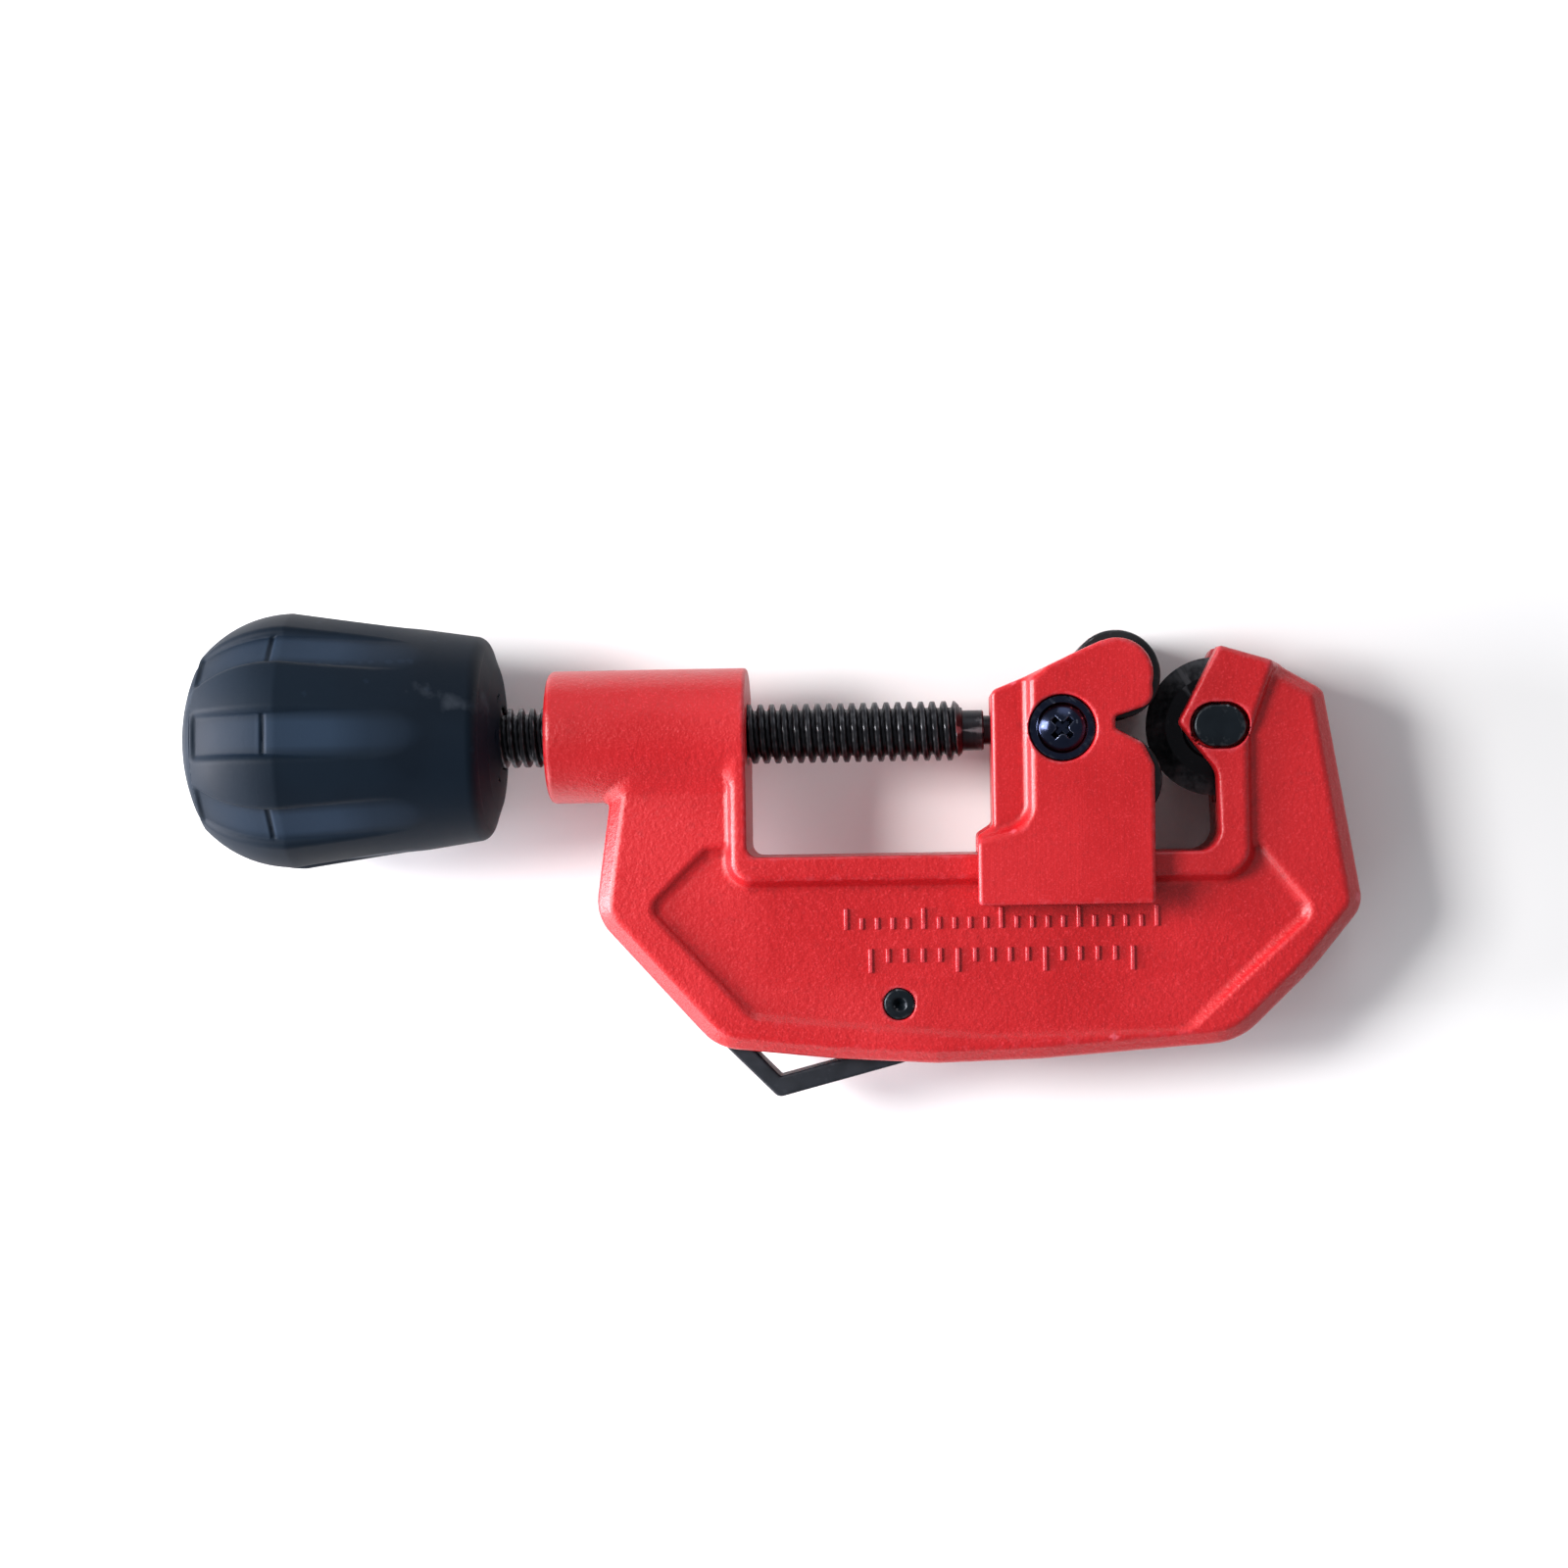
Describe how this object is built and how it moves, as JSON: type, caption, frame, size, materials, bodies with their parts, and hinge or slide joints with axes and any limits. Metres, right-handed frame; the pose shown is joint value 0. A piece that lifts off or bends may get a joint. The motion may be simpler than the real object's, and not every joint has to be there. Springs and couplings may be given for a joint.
{
  "type": "pipe cutter",
  "caption": "Screw-feed pipe cutter: C-shaped frame with a cutting wheel in its jaw, roller carriage on a rail, fluted knob and fold-out reamer.",
  "frame": {"origin": "the cutting point: where the edge of the cutter wheel meets the pipe, in the wheel's middle plane", "axes": "+X along the feed screw from the knob to the jaw, +Y from the frame's spine to the screw, +Z out of the front; the tool lies on its back"},
  "size_m": [0.1533, 0.0643, 0.0338],
  "materials": {
    "frame_paint": "textured red powder coat on a die casting",
    "slide_paint": "smoother red powder coat with a fine vertical grain",
    "blued_screw": "shiny blued steel",
    "bright_steel": "ground steel",
    "roller_black": "blackened steel, satin",
    "black_oxide": "black oxide with light thread crests",
    "knob_plastic": "semi-matte blue-black moulded plastic",
    "insert_brass": "turned brass",
    "wheel_steel": "hardened dark steel with a bright ground edge",
    "black_pin": "dark blued steel, satin",
    "spring_steel": "spring steel",
    "reamer_steel": "dark slate hardened strip"
  },
  "bodies": {
    "frame": {"frame": "frame_paint", "cutter_pin": "black_pin", "cutter_pin_clip": "spring_steel", "reamer_pin": "black_pin", "reamer_washer": "spring_steel"},
    "carriage": {"slide": "slide_paint", "slide_screw": "blued_screw", "thrust_disc": "bright_steel", "upper_roller_pin": "bright_steel", "lower_roller_pin": "bright_steel"},
    "feed": {"feed_screw": "black_oxide", "knob": "knob_plastic", "knob_insert": "insert_brass", "knob_screw": "black_oxide", "knob_washer": "bright_steel", "spare_wheel": "wheel_steel"},
    "cap": {"knob_cap": "knob_plastic"},
    "cutter": {"cutter_wheel": "wheel_steel"},
    "roller_upper": {"upper_roller": "roller_black"},
    "roller_lower": {"lower_roller": "roller_black"},
    "reamer": {"reamer": "reamer_steel"}
  },
  "joints": [
    {"name": "slide_travel", "type": "slide", "parent": "frame", "child": "carriage", "axis": [1, 0, 0], "range_m": [-0.0305, 0]},
    {"name": "feed_turn", "type": "hinge", "parent": "carriage", "child": "feed", "pos_m": [-0.084, 0, 0], "axis": [1, 0, 0], "range_deg": [-7320, 0]},
    {"name": "cap_pull", "type": "slide", "parent": "feed", "child": "cap", "axis": [-1, 0, 0], "range_m": [0, 0.015]},
    {"name": "wheel_spin", "type": "hinge", "parent": "frame", "child": "cutter", "pos_m": [0.009, 0, 0], "axis": [0, 0, 1], "continuous": true},
    {"name": "upper_roller_spin", "type": "hinge", "parent": "carriage", "child": "roller_upper", "pos_m": [-0.00423, 0.0067, 0], "axis": [0, 0, 1], "continuous": true},
    {"name": "lower_roller_spin", "type": "hinge", "parent": "carriage", "child": "roller_lower", "pos_m": [-0.00423, -0.0067, 0], "axis": [0, 0, 1], "continuous": true},
    {"name": "reamer_fold", "type": "hinge", "parent": "frame", "child": "reamer", "pos_m": [-0.0326, -0.0353, 0], "axis": [0, 0, 1], "range_deg": [0, 105]}
  ],
  "couplings": [
    {"joint": "feed_turn", "follows": "slide_travel", "rad_per_m": 4188.8}
  ]
}
